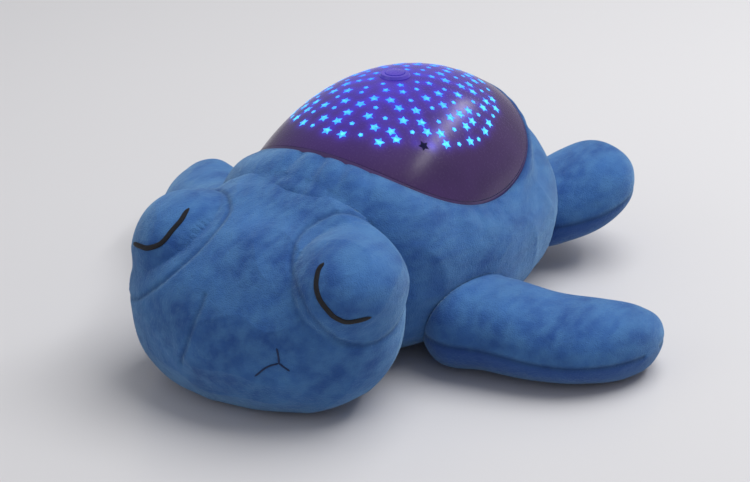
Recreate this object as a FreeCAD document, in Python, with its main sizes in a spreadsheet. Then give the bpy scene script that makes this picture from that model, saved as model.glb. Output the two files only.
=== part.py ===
import FreeCAD, Part
import math
import os

# A plush turtle that carries a star-windowed night light in its back.
# Millimetres, +Z up, the head toward -Y, the turtle's left toward +X.
# The origin is on the floor, under the middle of the dome.

Vector = FreeCAD.Vector
Rotation = FreeCAD.Rotation

SIZES = {
    # dome: a barrel, round across and along, cut by a lying cylinder that leaves a saddle rim
    "apex_height": 124.9,
    "crown_across": 67.5,
    "ring_radius": 68.0,
    "rim_side_height": 72.2,
    "saddle_radius": 92.0,
    "dome_wall": 2.2,
    "liner_wall": 1.2,
    "lip_thickness": 2.0,
    "spigot_depth": 5.0,
    # star windows
    "star_radius": 3.3,
    "star_waist": 0.46,
    "star_rows": 3.0,
    "star_spacing": 19.0,
    # tub under the dome
    "tub_inset": 2.5,
    "tub_wall": 2.0,
    "flange_thickness": 2.4,
    "base_half_width": 38.0,
    "base_half_length": 50.0,
    "base_recess": 4.0,
    "floor_thickness": 2.0,
    "shoulder_height": 44.0,
    "ring_width": 3.0,
    "ring_thickness": 1.6,
    # battery bay
    "cell_radius": 7.1,
    "cell_length": 49.0,
    "cell_nub": 1.2,
    "cell_pitch": 15.0,
    "spring_room": 5.0,
    "bay_wall": 2.0,
    "door_thickness": 2.0,
    "door_ledge": 1.0,
    "tab_half_width": 6.0,
    "screw_radius": 1.2,
    "screw_head_radius": 2.5,
    "screw_head_height": 1.3,
    "door_screw_length": 5.0,
    "board_screw_length": 8.0,
    # lamp
    "deck_thickness": 2.0,
    "standoff_height": 6.0,
    "board_half": 24.0,
    "board_thickness": 1.6,
    "lamp_radius": 2.5,
    "lamp_height": 8.0,
    "lamp_circle": 14.0,
    "switch_half": 3.0,
    "switch_height": 3.5,
    # button at the crown
    "cap_radius": 5.2,
    "cap_height": 3.4,
    "cap_proud": 1.2,
    "bezel_wall": 1.3,
    "bezel_flange": 1.5,
    "bezel_height": 1.5,
    "bezel_neck": 4.0,
    "stem_radius": 2.2,
    "collar_height": 1.5,
    "button_travel": 1.0,
    "post_wall": 1.5,
    # clearances
    "fit_gap": 0.3,
    "rim_gap": 0.1,
    "soft_gap": 0.5,
    "overrun": 1.0,
    # plush
    "plush_side": 15.94,
}

# shares and shape factors
BARREL_END = 85
PLAN_FULLNESS = 0.85
TOP_FULLNESS = 0.78
STAR_TURN = 0.7
NUB_SHARE = 0.37
COIL_WIDE = 0.6
COIL_NARROW = 0.35
LAMP_RIM_SHARE = 1.15
TIP_SHARE = 0.7
CROWN_SHARE = 3
BEZEL_SLOPE = 0.6
SPLIT = 2

doc = FreeCAD.newDocument("star_turtle")
sheet = doc.addObject("Spreadsheet::Sheet", "sizes")
for row, (alias, size) in enumerate(SIZES.items(), start=1):
    sheet.set("A%d" % row, alias)
    sheet.set("B%d" % row, str(size))
    sheet.setAlias("B%d" % row, alias)
doc.recompute()

FORMULAS = {
    "crown_along": "sizes.ring_radius + sizes.crown_across",
    "ring_centre": "sizes.apex_height - {crown_along}",
    "saddle_centre": "sizes.rim_side_height + sizes.saddle_radius",
    "tip_height": "({crown_along} ^ 2 - sizes.saddle_radius ^ 2 - {ring_centre} ^ 2"
    " + {saddle_centre} ^ 2) / (2 * ({saddle_centre} - {ring_centre}))",
    "rim_half_length": "sqrt({crown_along} ^ 2 - ({tip_height} - {ring_centre}) ^ 2)",
    "rim_half_width": "sqrt(sizes.crown_across ^ 2"
    " - (sizes.rim_side_height - {ring_centre} - sizes.ring_radius) ^ 2)",
    "tub_half_width": "{rim_half_width} - sizes.tub_inset",
    "tub_half_length": "{rim_half_length} - sizes.tub_inset",
    "floor_top": "sizes.base_recess + sizes.floor_thickness",
    "bay_half_width": "1.5 * sizes.cell_pitch + sizes.fit_gap",
    "bay_length": "sizes.cell_length + sizes.cell_nub + sizes.spring_room + 4 * sizes.fit_gap",
    "cell_axis": "sizes.base_recess + sizes.floor_thickness + sizes.fit_gap + sizes.cell_radius",
    "bay_top": "sizes.base_recess + sizes.floor_thickness + 3 * sizes.fit_gap"
    " + 2 * sizes.cell_radius",
    "deck_top": "sizes.shoulder_height + sizes.deck_thickness",
    "board_top": "sizes.shoulder_height + sizes.deck_thickness + sizes.standoff_height"
    " + sizes.board_thickness",
    "bore_radius": "sizes.cap_radius + sizes.fit_gap",
    "neck_radius": "sizes.cap_radius + sizes.fit_gap + sizes.bezel_wall",
    "bezel_seat": "sizes.apex_height - sizes.fit_gap / 2",
    "neck_bottom": "sizes.apex_height - sizes.fit_gap / 2 - sizes.bezel_neck",
}


def full(text):
    """The formula with each named part written out in brackets."""
    while "{" in text:
        for name, formula in FORMULAS.items():
            text = text.replace("{" + name + "}", "(" + formula + ")")
    return text


def value(text):
    """A formula's number in this document."""
    found = sheet.evalExpression(full(text))
    return float(getattr(found, "Value", found))


def size(name):
    return float(sheet.get(name))


def bind(thing, sizes):
    for prop, formula in sizes.items():
        thing.setExpression(prop, full(formula))
    return thing


def place(thing, x="0", y="0", z="0", rotation=None):
    if rotation is not None:
        thing.Placement = FreeCAD.Placement(Vector(0, 0, 0), rotation)
    bind(thing, {"Placement.Base.x": x, "Placement.Base.y": y, "Placement.Base.z": z})
    return thing


def box(name, across, along, tall, x="0", y="0", z="0"):
    """A box of half sizes across and along, standing on z with its middle at x, y."""
    thing = doc.addObject("Part::Box", name)
    bind(thing, {"Length": "2 * (%s)" % across, "Width": "2 * (%s)" % along, "Height": tall})
    return place(thing, "%s - (%s)" % (x, across), "%s - (%s)" % (y, along), z)


def pole(name, radius, tall, x="0", y="0", z="0", rotation=None):
    thing = doc.addObject("Part::Cylinder", name)
    bind(thing, {"Radius": radius, "Height": tall})
    return place(thing, x, y, z, rotation)


def barrel(name, grow="0"):
    """The dome's barrel, grown outward by a distance: a ring round an axis along X."""
    thing = doc.addObject("Part::Torus", name)
    thing.Angle1 = -BARREL_END
    thing.Angle2 = BARREL_END
    bind(thing, {"Radius1": "sizes.ring_radius", "Radius2": "sizes.crown_across + (%s)" % grow})
    return place(thing, z="{ring_centre}", rotation=Rotation(Vector(0, 1, 0), 90))


def saddle(name, lower="0"):
    """A lying cylinder: what is inside it is above the saddle, moved down by a distance."""
    return pole(name, "sizes.saddle_radius + (%s)" % lower, "4 * sizes.crown_across",
                x="-2 * sizes.crown_across", z="{saddle_centre}",
                rotation=Rotation(Vector(0, 1, 0), 90))


def quadrant(wide, tall, fullness):
    """Two tangent arcs from (wide, 0) to (0, tall): start, mid, end points of each."""
    flat = wide >= tall
    long_half, short_half = (wide, tall) if flat else (tall, wide)
    small = fullness * short_half
    large = (long_half - small) ** 2 + short_half ** 2 - small ** 2
    large = large / (2 * (short_half - small))
    turn = math.atan2(large - short_half, long_half - small)
    points = []
    for angle in (0, turn / 2, turn):
        points.append((long_half - small + small * math.cos(angle), small * math.sin(angle)))
    for angle in ((turn + math.pi / 2) / 2, math.pi / 2):
        points.append((large * math.cos(angle), short_half - large + large * math.sin(angle)))
    if not flat:
        points = [(second, first) for first, second in reversed(points)]
    return points


def arc_loop(upper, lower):
    """Plane points of a closed loop from an upper and a lower quadrant, mirrored across."""
    loop = list(upper)
    loop += [(-across, up) for across, up in reversed(upper[:-1])]
    loop += [(-across, -up) for across, up in lower[1:]]
    loop += [(across, -up) for across, up in reversed(lower[:-1])]
    return loop


def arc_wire(points):
    """A wire of arcs, each through three points of the loop."""
    edges = []
    for start in range(0, len(points) - 1, 2):
        edges.append(Part.Arc(points[start], points[start + 1], points[start + 2]).toShape())
    return Part.Wire(edges)


def oval_prism(name, half_width, half_length, tall, z="0"):
    """A standing prism with an oval of tangent arcs as its plan."""
    corner = quadrant(value(half_width), value(half_length), PLAN_FULLNESS)
    loop = arc_loop(corner, corner)
    face = Part.Face(arc_wire([Vector(x, y, 0) for x, y in loop]))
    prism = face.extrude(Vector(0, 0, value(tall)))
    thing = shape_feature(name, prism)
    thing.Placement = FreeCAD.Placement(Vector(0, 0, value(z)), Rotation())
    return thing


def cut(name, base, *tools):
    thing = base
    for number, tool in enumerate(tools):
        last = number == len(tools) - 1
        step = doc.addObject("Part::Cut", name if last else "%s_cut_%d" % (name, number + 1))
        step.Base = thing
        step.Tool = tool
        thing = step
    return thing


def join(name, *pieces):
    thing = doc.addObject("Part::MultiFuse", name)
    thing.Shapes = list(pieces)
    return thing


def common(name, *pieces):
    thing = doc.addObject("Part::MultiCommon", name)
    thing.Shapes = list(pieces)
    return thing


def group(name, *pieces):
    """Separate solids in one sub-part."""
    thing = doc.addObject("Part::Compound", name)
    thing.Links = list(pieces)
    return thing


def shape_feature(name, shape):
    thing = doc.addObject("Part::Feature", name)
    thing.Shape = shape
    return thing


SUB_PARTS = []


def sub_part(thing, label):
    thing.Label = label
    SUB_PARTS.append(thing)
    return thing


# dome shell: the windowed saddle-rimmed dome, with a lip and a spigot that enters the tub

def on_dome(x, y):
    """A point of the dome's outer face above x, y, and its outward direction."""
    across = size("crown_across")
    ring = size("ring_radius")
    centre = value("{ring_centre}")
    reach = ring + math.sqrt(across ** 2 - x ** 2)
    point = Vector(x, y, centre + math.sqrt(reach ** 2 - y ** 2))
    lean = math.asin(y / reach)
    middle = Vector(0, ring * math.sin(lean), centre + ring * math.cos(lean))
    return point, (point - middle).normalize()


def star_prism(point, normal, spin):
    """A five-pointed prism through the shell, its axis along the normal."""
    outer = size("star_radius")
    reach = 2 * size("dome_wall")
    side = Vector(0, 1, 0).cross(normal).normalize()
    up = normal.cross(side)
    corners = []
    for number in range(10):
        angle = spin + number * math.pi / 5
        arm = outer if number % 2 == 0 else outer * size("star_waist")
        corner = point + side * (arm * math.cos(angle)) + up * (arm * math.sin(angle))
        corners.append(corner - normal * reach)
    face = Part.Face(Part.makePolygon(corners + corners[:1]))
    return face.extrude(normal * (2 * reach))


def star_places():
    """Rings of windows round the crown, each ring's count set by the spacing."""
    spacing = size("star_spacing")
    margin = size("star_radius") + 2 * size("lip_thickness")
    across = size("crown_across")
    along = value("{crown_along}")
    radius = size("saddle_radius")
    places = []
    for row in range(1, int(size("star_rows")) + 1):
        wide = across * math.sin(row * spacing / across)
        deep = along * math.sin(row * spacing / along)
        count = int(math.pi * (wide + deep) / spacing)
        for number in range(count):
            angle = 2 * math.pi * (number + 0.5 * (row % 2)) / count
            x = wide * math.cos(angle)
            y = deep * math.sin(angle)
            if abs(y) + margin >= value("{rim_half_length}"):
                continue
            point, normal = on_dome(x, y)
            rim = value("{saddle_centre}") - math.sqrt(radius ** 2 - y ** 2)
            if point.z < rim + margin:
                continue
            places.append((point, normal, number * STAR_TURN + row))
    return places


stars = [star_prism(*spot) for spot in star_places()]
star_cutters = shape_feature("star_cutters", Part.makeCompound(stars))
crown_hole = pole("crown_hole", "{neck_radius} + sizes.fit_gap", "sizes.apex_height",
                  z="sizes.apex_height / 2")
dome_skin = cut("dome_skin", barrel("dome_outside"), barrel("dome_inside", "-sizes.dome_wall"))
dome_top = common("dome_top", dome_skin, saddle("dome_saddle", "-sizes.rim_gap"))
lip_band = cut("lip_band", saddle("lip_saddle", "-sizes.rim_gap"),
               saddle("lip_saddle_top", "-sizes.lip_thickness"))
lip_hole = oval_prism("lip_hole", "{tub_half_width} - sizes.tub_wall - 2 * sizes.fit_gap"
                      " - sizes.lip_thickness",
                      "{tub_half_length} - sizes.tub_wall - 2 * sizes.fit_gap"
                      " - sizes.lip_thickness", "sizes.apex_height")
dome_lip = cut("dome_lip", common("lip_in_dome", lip_band, barrel("lip_egg")), lip_hole)
spigot_band = cut("spigot_band", saddle("spigot_low", "sizes.spigot_depth"),
                  saddle("spigot_high", "-sizes.lip_thickness / 2"))
spigot_ring = cut("spigot_ring",
                  oval_prism("spigot_outside",
                             "{tub_half_width} - sizes.tub_wall - sizes.fit_gap",
                             "{tub_half_length} - sizes.tub_wall - sizes.fit_gap",
                             "sizes.apex_height"),
                  oval_prism("spigot_inside",
                             "{tub_half_width} - 2 * sizes.tub_wall - sizes.fit_gap",
                             "{tub_half_length} - 2 * sizes.tub_wall - sizes.fit_gap",
                             "sizes.apex_height"))
spigot = common("spigot", spigot_ring, spigot_band, barrel("spigot_egg"))
dome_body = join("dome_body", dome_top, dome_lip, spigot)
sub_part(cut("dome_pierced", dome_body, crown_hole, star_cutters), "dome_shell")

# star liner: the clear inner dome that closes the windows and stands on the lip

liner_skin = cut("liner_skin", barrel("liner_outside", "-sizes.dome_wall - sizes.fit_gap"),
                 barrel("liner_inside", "-sizes.dome_wall - sizes.fit_gap - sizes.liner_wall"))
liner_top = common("liner_top", liner_skin,
                   saddle("liner_saddle", "-sizes.lip_thickness - sizes.rim_gap"))
liner_hole = pole("liner_hole", "{neck_radius} + 2 * sizes.fit_gap", "sizes.apex_height",
                  z="sizes.apex_height / 2")
sub_part(cut("liner", liner_top, liner_hole), "star_liner")

# housing: a tapered tub with a saddle flange, a deck ledge, a floor and a battery bay


def tub(name, grow="0"):
    well = oval_prism(name + "_well", "sizes.base_half_width + (%s)" % grow,
                      "sizes.base_half_length + (%s)" % grow,
                      "sizes.shoulder_height - sizes.base_recess", "sizes.base_recess")
    wall = oval_prism(name + "_wall", "{tub_half_width} + (%s)" % grow,
                      "{tub_half_length} + (%s)" % grow,
                      "sizes.apex_height - sizes.shoulder_height + sizes.tub_wall + (%s)" % grow,
                      "sizes.shoulder_height - sizes.tub_wall - (%s)" % grow)
    return join(name, well, wall)


tub_below = cut("tub_below", tub("tub_outside"), saddle("tub_saddle"))
flange_band = cut("flange_band", saddle("flange_low", "sizes.flange_thickness"),
                  saddle("flange_high"))
flange = common("flange", flange_band, barrel("flange_egg"))
upper_room = oval_prism("upper_room", "{tub_half_width} - sizes.tub_wall",
                        "{tub_half_length} - sizes.tub_wall", "sizes.apex_height",
                        "sizes.shoulder_height")
lower_room = oval_prism("lower_room", "sizes.base_half_width - sizes.tub_wall",
                        "sizes.base_half_length - sizes.tub_wall",
                        "sizes.shoulder_height - {floor_top} + sizes.overrun", "{floor_top}")
bay_block = box("bay_block", "{bay_half_width} + sizes.bay_wall",
                "{bay_length} / 2 + sizes.bay_wall",
                "{bay_top} + sizes.bay_wall - sizes.base_recess - sizes.floor_thickness / 2",
                z="sizes.base_recess + sizes.floor_thickness / 2")
tab_y = "({bay_length} / 2 + sizes.bay_wall / 2 + sizes.screw_head_radius + sizes.fit_gap)"
boss = pole("screw_boss", "sizes.screw_head_radius + sizes.fit_gap",
            "2 * sizes.door_screw_length", y=tab_y,
            z="sizes.base_recess + sizes.floor_thickness / 2")
bay_room = box("bay_room", "{bay_half_width}", "{bay_length} / 2",
               "{bay_top} - sizes.base_recess + sizes.overrun",
               z="sizes.base_recess - sizes.overrun")
door_seat = box("door_seat", "{bay_half_width} + sizes.door_ledge",
                "{bay_length} / 2 + sizes.door_ledge",
                "sizes.door_thickness + sizes.overrun",
                z="sizes.base_recess - sizes.overrun")
tab_reach = "(sizes.screw_head_radius + sizes.bay_wall + sizes.fit_gap)"
tab_seat = box("tab_seat", "sizes.tab_half_width", tab_reach,
               "sizes.door_thickness + sizes.overrun",
               y=tab_y, z="sizes.base_recess - sizes.overrun")
screw_hole = pole("screw_hole", "sizes.screw_radius + sizes.fit_gap",
                  "2 * sizes.door_screw_length", y=tab_y, z="sizes.base_recess - sizes.overrun")
shell = cut("tub_shell", join("tub_body", tub_below, flange), upper_room, lower_room)
housing = cut("housing", join("housing_solid", shell, bay_block, boss),
              bay_room, door_seat, tab_seat, screw_hole)
sub_part(housing, "housing_base")

# battery door: a plate with a screw tab, hinged on the bottom edge of its head end

door_plate = box("door_plate", "{bay_half_width} + sizes.door_ledge - sizes.fit_gap",
                 "{bay_length} / 2 + sizes.door_ledge - sizes.fit_gap",
                 "sizes.door_thickness", z="sizes.base_recess")
door_tab = box("door_tab", "sizes.tab_half_width - sizes.fit_gap",
               tab_reach + " - sizes.fit_gap", "sizes.door_thickness",
               y=tab_y, z="sizes.base_recess")
head_sink = pole("head_sink", "sizes.screw_head_radius + sizes.fit_gap / 2",
                 "sizes.screw_head_height", y=tab_y, z="sizes.base_recess")
shank_hole = pole("shank_hole", "sizes.screw_radius + sizes.fit_gap / 2",
                  "2 * sizes.door_thickness", y=tab_y, z="sizes.base_recess")
sub_part(cut("door", join("door_solid", door_plate, door_tab), head_sink, shank_hole),
         "battery_door")


def screw(name, x, y, z, shank, flip=False):
    """A head and a shank; the shank points up, or down when flipped."""
    turn = Rotation(Vector(1, 0, 0), 180 if flip else 0)
    head = pole(name + "_head", "sizes.screw_head_radius", "sizes.screw_head_height",
                x, y, z, turn)
    rod = pole(name + "_rod", "sizes.screw_radius", shank, x, y, z, turn)
    return join(name, head, rod)


lid_screw = screw("lid_screw", "0", tab_y, "sizes.base_recess", "sizes.door_screw_length")
sub_part(lid_screw, "door_screw")

# three cells, alternating, with a leaf contact and a sprung contact for each


def cell(number):
    """A can with a nub; every second cell is turned end for end."""
    x = "%d * sizes.cell_pitch" % (number - 1)
    way = 1 if number % 2 == 0 else -1
    back = "%d * ({bay_length} / 2 - 2 * sizes.fit_gap - sizes.cell_nub - sizes.cell_length)" % way
    turn = Rotation(Vector(1, 0, 0), -90 * way)
    can = pole("can_%d" % number, "sizes.cell_radius", "sizes.cell_length",
               x, back, "{cell_axis}", turn)
    nub = pole("nub_%d" % number, "sizes.cell_radius * %g" % NUB_SHARE,
               "sizes.cell_length + sizes.cell_nub", x, back, "{cell_axis}", turn)
    return join("cell_%d" % number, can, nub)


def spring_cone(number):
    """The space of a conical contact spring, wide at the wall."""
    x = "%d * sizes.cell_pitch" % (number - 1)
    way = 1 if number % 2 == 0 else -1
    thing = doc.addObject("Part::Cone", "spring_%d" % number)
    bind(thing, {"Radius1": "sizes.cell_radius * %g" % COIL_WIDE,
                 "Radius2": "sizes.cell_radius * %g" % COIL_NARROW,
                 "Height": "sizes.spring_room"})
    return place(thing, x, "%d * ({bay_length} / 2 - sizes.fit_gap)" % -way, "{cell_axis}",
                 Rotation(Vector(1, 0, 0), -90 * way))


def leaf(number):
    """A thin contact plate behind the nub."""
    x = "%d * sizes.cell_pitch" % (number - 1)
    way = 1 if number % 2 == 0 else -1
    return box("leaf_%d" % number, "sizes.cell_radius * %g" % COIL_WIDE, "sizes.fit_gap / 2",
               "sizes.cell_radius", x, "%d * ({bay_length} / 2 - sizes.fit_gap / 2)" % way,
               "{cell_axis} - sizes.cell_radius / 2")


for number in range(3):
    sub_part(cell(number), "battery_%d" % (number + 1))
sub_part(group("springs", *[spring_cone(number) for number in range(3)]), "contact_springs")
sub_part(group("leaves", *[leaf(number) for number in range(3)]), "contact_leaves")

# clamp ring: holds the belly opening of the plush against the tub's floor

ring_plate = oval_prism("ring_plate", "sizes.base_half_width + sizes.ring_width",
                        "sizes.base_half_length + sizes.ring_width", "sizes.ring_thickness",
                        "sizes.base_recess - sizes.ring_thickness")
ring_hole = oval_prism("ring_hole", "sizes.base_half_width - sizes.ring_width",
                       "sizes.base_half_length - sizes.ring_width",
                       "2 * sizes.ring_thickness", "sizes.base_recess - sizes.ring_thickness")
sub_part(cut("ring", ring_plate, ring_hole), "clamp_ring")

# deck, lamp board, three lamps and the switch

deck_plate = oval_prism("deck_plate", "{tub_half_width} - sizes.tub_wall - sizes.fit_gap",
                        "{tub_half_length} - sizes.tub_wall - sizes.fit_gap",
                        "sizes.deck_thickness", "sizes.shoulder_height")
standoffs = []
corner = "(sizes.board_half - 2 * sizes.screw_head_radius)"
CORNERS = [(-1, -1), (1, -1), (-1, 1), (1, 1)]
for number, (across, along) in enumerate(CORNERS):
    standoffs.append(pole("standoff_%d" % number, "sizes.screw_head_radius",
                          "sizes.standoff_height + sizes.overrun",
                          "%d * %s" % (across, corner), "%d * %s" % (along, corner),
                          "{deck_top} - sizes.overrun"))
wire_hole = pole("wire_hole", "sizes.cell_radius", "2 * sizes.shoulder_height")
bores = []
for number, (across, along) in enumerate(CORNERS):
    bores.append(pole("bore_%d" % number, "sizes.screw_radius + sizes.fit_gap",
                      "2 * sizes.shoulder_height",
                      "%d * %s" % (across, corner), "%d * %s" % (along, corner)))
bore_set = join("bore_set", *bores)
sub_part(cut("deck", join("deck_solid", deck_plate, *standoffs), wire_hole, bore_set),
         "lamp_deck")

board_plate = box("board_plate", "sizes.board_half", "sizes.board_half",
                  "sizes.board_thickness", z="{board_top} - sizes.board_thickness")
sub_part(cut("board", board_plate, bore_set), "lamp_board")
screws = []
for number, (across, along) in enumerate(CORNERS):
    screws.append(screw("board_screw_%d" % number, "%d * %s" % (across, corner),
                        "%d * %s" % (along, corner),
                        "{board_top} + sizes.screw_head_height",
                        "sizes.board_screw_length", flip=True))
sub_part(group("screws", *screws), "board_screws")


def lamp(name, turn):
    """A round-nosed lamp with a rim, at one place on the lamp circle."""
    x = "sizes.lamp_circle * %.6f" % math.cos(math.radians(turn))
    y = "sizes.lamp_circle * %.6f" % math.sin(math.radians(turn))
    rim = pole(name + "_rim", "sizes.lamp_radius * %g" % LAMP_RIM_SHARE, "sizes.overrun",
               x, y, "{board_top}")
    can = pole(name + "_can", "sizes.lamp_radius", "sizes.lamp_height - sizes.lamp_radius",
               x, y, "{board_top}")
    nose = doc.addObject("Part::Sphere", name + "_nose")
    bind(nose, {"Radius": "sizes.lamp_radius"})
    place(nose, x, y, "{board_top} + sizes.lamp_height - sizes.lamp_radius")
    return join(name, rim, can, nose)


for label, turn in (("lamp_blue", 90), ("lamp_green", 210), ("lamp_red", 330)):
    sub_part(lamp(label + "_solid", turn), label)

switch_box = box("switch_box", "sizes.switch_half", "sizes.switch_half",
                 "sizes.switch_height", z="{board_top}")
tip_radius = "sizes.stem_radius * %g" % TIP_SHARE
switch_well = pole("switch_well", tip_radius + " + sizes.fit_gap", "2 * sizes.switch_height",
                   z="{board_top} + sizes.overrun")
sub_part(cut("switch", switch_box, switch_well), "tact_switch")

# button: bezel in the crown, cap, stem with its stop collar, and the post round the stem

bezel_ring = doc.addObject("Part::Cone", "bezel_ring")
bind(bezel_ring, {"Radius1": "{neck_radius} + sizes.bezel_flange",
                  "Radius2": "{neck_radius} + sizes.bezel_flange - sizes.bezel_height * %g"
                  % BEZEL_SLOPE,
                  "Height": "sizes.bezel_height"})
place(bezel_ring, z="{bezel_seat}")
bezel_neck = pole("bezel_neck", "{neck_radius}", "sizes.bezel_neck + sizes.overrun / 2",
                  z="{neck_bottom}")
bezel_bore = pole("bezel_bore", "{bore_radius}", "sizes.apex_height",
                  z="sizes.apex_height / 2")
sub_part(cut("bezel", join("bezel_solid", bezel_ring, bezel_neck), bezel_bore), "button_bezel")

cap_top = "{bezel_seat} + sizes.bezel_height + sizes.cap_proud"
cap_disc = pole("cap_disc", "sizes.cap_radius", "sizes.cap_height",
                z=cap_top + " - sizes.cap_height")
cap_crown = doc.addObject("Part::Sphere", "cap_crown")
bind(cap_crown, {"Radius": "%d * sizes.cap_radius" % CROWN_SHARE})
place(cap_crown, z=cap_top + " - %d * sizes.cap_radius" % CROWN_SHARE)
sub_part(common("cap", cap_disc, cap_crown), "button_cap")

collar_top = "{neck_bottom} - sizes.fit_gap"
stem_low = "{board_top} + sizes.switch_height + sizes.button_travel + sizes.fit_gap"
stem_rod = pole("stem_rod", "sizes.stem_radius",
                cap_top + " - sizes.cap_height - (" + stem_low + ")", z=stem_low)
stem_tip = pole("stem_tip", tip_radius, "2 * sizes.switch_height",
                z="{board_top} + sizes.overrun + sizes.button_travel + sizes.fit_gap")
stem_collar = pole("stem_collar", "{neck_radius} - sizes.fit_gap", "sizes.collar_height",
                   z=collar_top + " - sizes.collar_height")
sub_part(join("stem", stem_rod, stem_tip, stem_collar), "button_stem")

post_top = collar_top + " - sizes.collar_height - sizes.button_travel - sizes.fit_gap"
post_bore = "sizes.switch_half * sqrt(2) + sizes.fit_gap"
post_wall = pole("post_wall", post_bore + " + sizes.post_wall",
                 post_top + " - ({board_top})", z="{board_top}")
post_foot = pole("post_foot", post_bore + " + 2 * sizes.post_wall", "sizes.post_wall",
                 z="{board_top}")
post_hole = pole("post_hole", post_bore, post_top, z="{board_top} - sizes.overrun")
sub_part(cut("post", join("post_solid", post_wall, post_foot), post_hole), "button_post")

# soft forms: each is a loft through ovals of tangent arcs


def between(stations):
    """The stations and, between each two, SPLIT - 1 more on a smooth curve through them."""
    rows = []
    last = len(stations) - 1
    for number in range(last):
        before = stations[max(number - 1, 0)]
        here = stations[number]
        there = stations[number + 1]
        after = stations[min(number + 2, last)]
        for step in range(SPLIT):
            part = step / SPLIT
            row = []
            for a, b, c, d in zip(before, here, there, after):
                bend = 2 * a - 5 * b + 4 * c - d
                twist = 3 * b - a - 3 * c + d
                row.append(b + 0.5 * part * (c - a + part * (bend + part * twist)))
            rows.append(row)
    rows.append(list(stations[-1]))
    return rows


def section(station, grow):
    """A closed oval across the piece; its upper and lower halves have their own height."""
    along, across, middle, half_width, above, below, belly = station
    half_width = half_width + grow
    upper = quadrant(half_width, above + grow, TOP_FULLNESS)
    lower = quadrant(half_width, below + grow, belly)
    loop = arc_loop(upper, lower)
    return arc_wire([Vector(across + x, along, middle + z) for x, z in loop])


def soft(stations, origin, yaw, grow=0.0):
    """A loft through stations of (along, across, middle, half width, above, below, belly)."""
    sized = [[plush_scale * number for number in row[:-1]] + [row[-1]] for row in stations]
    wires = [section(station, grow) for station in between(sized)]
    form = Part.makeLoft(wires, True, True)
    form.rotate(Vector(0, 0, 0), Vector(0, 0, 1), yaw)
    form.translate(origin * plush_scale)
    return form


def standing(form):
    """The form cut flat where it meets the floor."""
    bounds = form.BoundBox
    depth = bounds.ZLength
    slab = Part.makeBox(bounds.XLength + 2 * depth, bounds.YLength + 2 * depth, depth,
                        Vector(bounds.XMin - depth, bounds.YMin - depth, -depth))
    return form.cut(slab)


BODY = [
    (-101, 0, 56.0, 30.0, 27.0, 44.0, 0.80),
    (-88, 0, 52.0, 54.0, 45.0, 51.5, 0.80),
    (-69, 0, 46.0, 68.5, 58.0, 48.0, 0.88),
    (-42, 0, 42.2, 77.5, 51.0, 44.6, 0.94),
    (0, 0, 40.5, 81.8, 45.0, 43.0, 0.96),
    (42, 0, 42.2, 76.0, 48.0, 44.6, 0.94),
    (69, 0, 44.0, 64.0, 56.5, 46.0, 0.88),
    (86, 0, 47.0, 46.0, 39.0, 40.0, 0.80),
    (98, 0, 49.0, 24.0, 22.0, 25.0, 0.80),
]
HEAD = [
    (6, 0, 49.0, 40.0, 29.0, 36.0, 0.80),
    (-12, 0, 48.5, 60.0, 40.0, 48.0, 0.84),
    (-33, 0, 45.0, 70.0, 41.5, 45.5, 0.86),
    (-54, 0, 41.5, 70.0, 39.0, 42.0, 0.86),
    (-70, 0, 38.0, 58.0, 33.0, 37.0, 0.84),
    (-82, 0, 36.0, 36.0, 21.0, 26.0, 0.80),
    (-88, 0, 35.0, 14.0, 9.0, 11.0, 0.80),
]
FRONT_FLIPPER = [
    (0, -4, 21.0, 28.0, 21.0, 21.5, 0.80),
    (-26, -5, 21.0, 30.0, 21.0, 21.5, 0.80),
    (-53, -5, 18.5, 30.0, 18.5, 19.0, 0.80),
    (-75, -1, 17.0, 27.0, 16.0, 17.5, 0.80),
    (-92, 7, 16.0, 20.0, 12.5, 15.0, 0.80),
    (-101, 13, 16.0, 9.0, 6.0, 8.0, 0.80),
]
REAR_FLIPPER = [
    (0, 0, 30.0, 20.0, 18.0, 18.0, 0.80),
    (-18, 0, 32.0, 28.0, 23.0, 20.0, 0.80),
    (-38, 0, 36.0, 31.0, 25.0, 20.0, 0.80),
    (-56, 0, 41.0, 26.0, 21.0, 15.0, 0.80),
    (-67, 0, 44.0, 13.0, 10.0, 8.0, 0.80),
]
HEAD_ORIGIN = Vector(-4, -82, 0)
HEAD_YAW = 10.0
EYE_CENTRE = Vector(50, -38, 69)
EYE_RADII = Vector(24, 26, 22)
FRONT_ORIGIN = Vector(64, -44, 0)
FRONT_YAW = {1: 104.0, -1: -120.0}
REAR_ORIGIN = Vector(46, 66, 0)
REAR_YAW = {1: 152.0, -1: -152.0}

doc.recompute()
soft_gap = size("soft_gap")
widest = max(row[3] for row in BODY)
plush_scale = (value("{rim_half_width}") + size("plush_side")) / widest


def mirrored(stations, side):
    return [(row[0], row[1] * side) + row[2:] for row in stations]


tub_space = tub("tub_space", "sizes.soft_gap")
dome_space = common("dome_space", barrel("space_egg", "sizes.soft_gap"),
                    saddle("space_saddle", "sizes.flange_thickness + sizes.soft_gap"))
ring_space = oval_prism("ring_space",
                        "sizes.base_half_width + sizes.ring_width + sizes.soft_gap",
                        "sizes.base_half_length + sizes.ring_width + sizes.soft_gap",
                        "2 * sizes.base_recess + sizes.soft_gap", "-sizes.base_recess")
doc.recompute()
body_form = standing(soft(BODY, Vector(0, 0, 0), 0))
body_cutter = soft(BODY, Vector(0, 0, 0), 0, soft_gap)
for space in (tub_space, dome_space, ring_space):
    body_form = body_form.cut(space.Shape)
sub_part(shape_feature("body", body_form), "plush_body")

head_form = standing(soft(HEAD, HEAD_ORIGIN, HEAD_YAW)).cut(body_cutter)
head_cutter = soft(HEAD, HEAD_ORIGIN, HEAD_YAW, soft_gap)
sub_part(shape_feature("head", head_form), "plush_head")


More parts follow.
